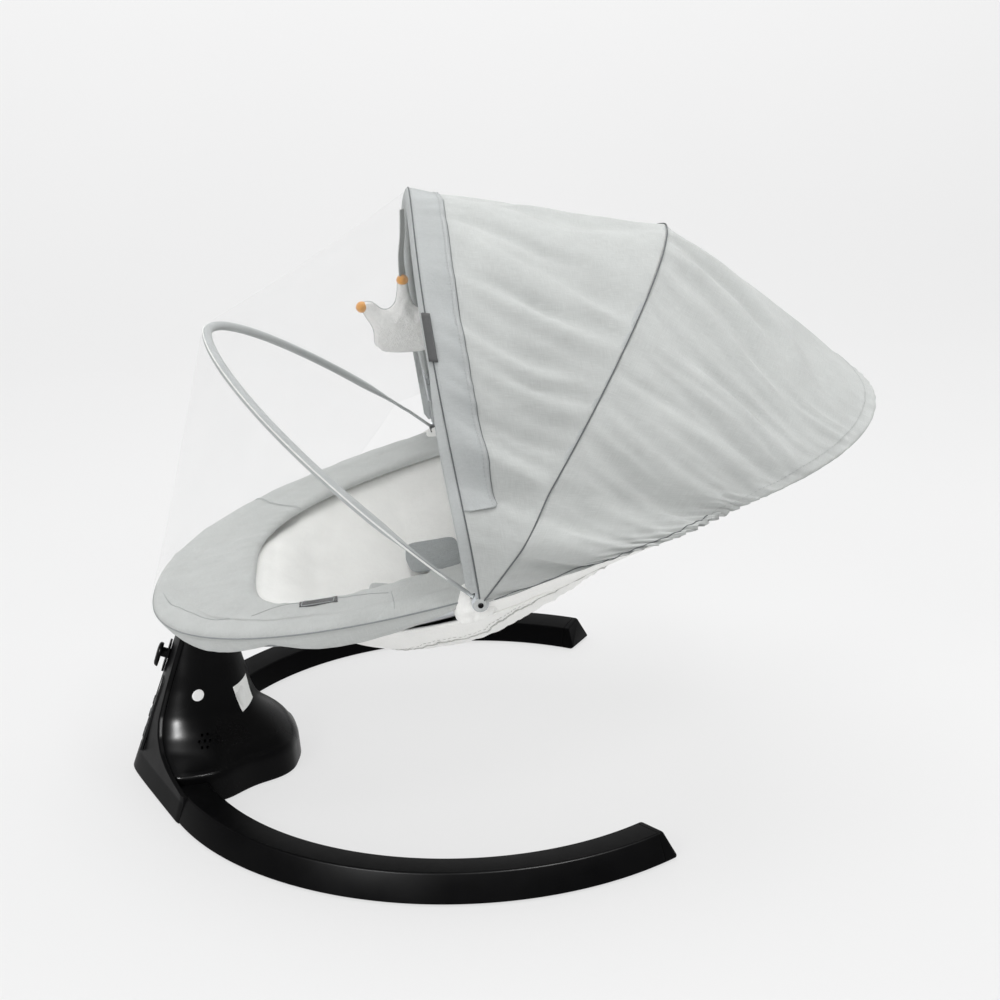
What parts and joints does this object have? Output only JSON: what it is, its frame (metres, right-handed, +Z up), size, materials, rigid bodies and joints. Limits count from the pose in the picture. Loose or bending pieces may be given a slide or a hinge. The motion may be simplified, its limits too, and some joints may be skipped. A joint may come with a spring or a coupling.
{
  "type": "baby swing",
  "caption": "Electric baby swing: C-shaped floor base, motor tower, reclined oval fabric seat, folding ribbed canopy with net and hanging toy",
  "frame": {"origin": "centre of the bounding box's bottom face, on the floor", "axes": "+X towards the seat's head end, -X the control tower, +Y the baby's left, +Z up"},
  "size_m": [0.7042, 0.5998, 0.5527],
  "materials": {
    "gloss_black": "semi-gloss moulded",
    "satin_black": "satin",
    "rubber": "matte",
    "tube": "satin",
    "steel": "plain",
    "display": "gloss",
    "grey_fabric": "slub weave",
    "white_fabric": "quilted cotton",
    "mesh_fabric": "spacer mesh",
    "piping": "corded edge",
    "net": "fine tulle",
    "plush": "short pile",
    "accent": "felt",
    "board": "solder mask",
    "paper": "printed film, blank"
  },
  "bodies": {
    "base": {"left_leg": "gloss_black", "left_leg_end_cap": "gloss_black", "left_foot_pad_1": "rubber", "left_foot_pad_2": "rubber", "left_foot_pad_3": "rubber", "right_leg": "gloss_black", "right_leg_end_cap": "gloss_black", "right_foot_pad_1": "rubber", "right_foot_pad_2": "rubber", "right_foot_pad_3": "rubber", "front_fascia": "gloss_black", "tower_shell": "gloss_black", "control_panel": "satin_black", "display_window": "display", "main_board": "board", "knob_plate": "gloss_black", "base_plate": "satin_black", "tower_foot_pad_front": "rubber", "tower_foot_pad_toe": "rubber", "power_inlet": "steel", "speaker": "satin_black", "lower_bearing": "steel", "upper_bearing": "steel", "gearbox": "satin_black", "drive_motor": "steel"},
    "swing": {"swing_shaft": "steel", "swing_head": "satin_black", "recline_pin": "steel"},
    "crank": {"crank_disc": "steel"},
    "rod": {"connecting_rod": "steel"},
    "seat": {"seat_bracket": "satin_black", "foot_tube": "tube", "head_tube": "tube", "left_canopy_hub": "satin_black", "right_canopy_hub": "satin_black", "seat_cover": "grey_fabric", "seat_sling": "white_fabric", "seat_pad": "white_fabric", "crotch_strap": "grey_fabric", "harness_buckle": "satin_black", "left_waist_pad": "mesh_fabric", "right_waist_pad": "mesh_fabric", "left_shoulder_strap": "mesh_fabric", "right_shoulder_strap": "mesh_fabric"},
    "canopy_mid": {"mid_rib": "steel", "canopy_rear_panel": "grey_fabric"},
    "canopy_front": {"front_rib": "steel", "canopy_front_panel": "grey_fabric"},
    "net": {"net_bow": "grey_fabric", "net_upper": "net", "net_lower": "net"},
    "toy": {"toy": "plush", "toy_strap": "grey_fabric"},
    "power_button": {"power_button": "satin_black"},
    "speed_up_button": {"speed_up_button": "satin_black"},
    "speed_down_button": {"speed_down_button": "satin_black"},
    "timer_button": {"timer_button": "satin_black"},
    "music_button": {"music_button": "satin_black"},
    "release_knob": {"release_knob": "gloss_black"}
  },
  "joints": [
    {"name": "swing_yaw", "type": "hinge", "parent": "base", "child": "swing", "pos_m": [-0.27169, 0, 0.1], "axis": [0, 0, 1], "range_deg": [-10, 10]},
    {"name": "crank_turn", "type": "hinge", "parent": "base", "child": "crank", "pos_m": [-0.23969, -0.0208, 0.046], "axis": [0, 0, 1], "range_deg": [-52, 52]},
    {"name": "rod_pivot", "type": "hinge", "parent": "swing", "child": "rod", "pos_m": [-0.27169, -0.026, 0.049], "axis": [0, 0, 1], "range_deg": [-12, 12]},
    {"name": "seat_recline", "type": "hinge", "parent": "swing", "child": "seat", "pos_m": [-0.27169, 0, 0.174], "axis": [0, 1, 0], "range_deg": [-6, 8]},
    {"name": "canopy_fold", "type": "hinge", "parent": "seat", "child": "canopy_mid", "pos_m": [-0.02769, 0, 0.255], "axis": [0, 1, 0], "range_deg": [0, 24], "deforming": ["canopy_rear_panel"]},
    {"name": "canopy_front_fold", "type": "hinge", "parent": "canopy_mid", "child": "canopy_front", "pos_m": [-0.02769, 0, 0.255], "axis": [0, 1, 0], "range_deg": [0, 34], "deforming": ["canopy_front_panel"]},
    {"name": "net_fold", "type": "hinge", "parent": "canopy_front", "child": "net", "pos_m": [-0.02769, 0, 0.255], "axis": [0, 1, 0], "range_deg": [0, 35], "deforming": ["net_upper", "net_lower"]},
    {"name": "toy_swing", "type": "hinge", "parent": "canopy_front", "child": "toy", "pos_m": [-0.06868, 0, 0.535], "axis": [0, 1, 0], "range_deg": [-20, 20]},
    {"name": "power_button_press", "type": "slide", "parent": "base", "child": "power_button", "axis": [0.9332, 0, -0.3593], "range_m": [0, 0.0012], "stiffness_N_per_m": 300},
    {"name": "speed_up_button_press", "type": "slide", "parent": "base", "child": "speed_up_button", "axis": [0.9332, 0, -0.3593], "range_m": [0, 0.0012], "stiffness_N_per_m": 300},
    {"name": "speed_down_button_press", "type": "slide", "parent": "base", "child": "speed_down_button", "axis": [0.9332, 0, -0.3593], "range_m": [0, 0.0012], "stiffness_N_per_m": 300},
    {"name": "timer_button_press", "type": "slide", "parent": "base", "child": "timer_button", "axis": [0.9332, 0, -0.3593], "range_m": [0, 0.0012], "stiffness_N_per_m": 300},
    {"name": "music_button_press", "type": "slide", "parent": "base", "child": "music_button", "axis": [0.9332, 0, -0.3593], "range_m": [0, 0.0012], "stiffness_N_per_m": 300},
    {"name": "release_knob_press", "type": "slide", "parent": "base", "child": "release_knob", "axis": [0.9332, 0, -0.3593], "range_m": [0, 0.004], "stiffness_N_per_m": 300}
  ],
  "couplings": [
    {"joint": "crank_turn", "follows": "swing_yaw", "ratio": 5},
    {"joint": "rod_pivot", "follows": "swing_yaw", "ratio": -1},
    {"joint": "canopy_front_fold", "follows": "canopy_fold", "ratio": 1.4166}
  ]
}
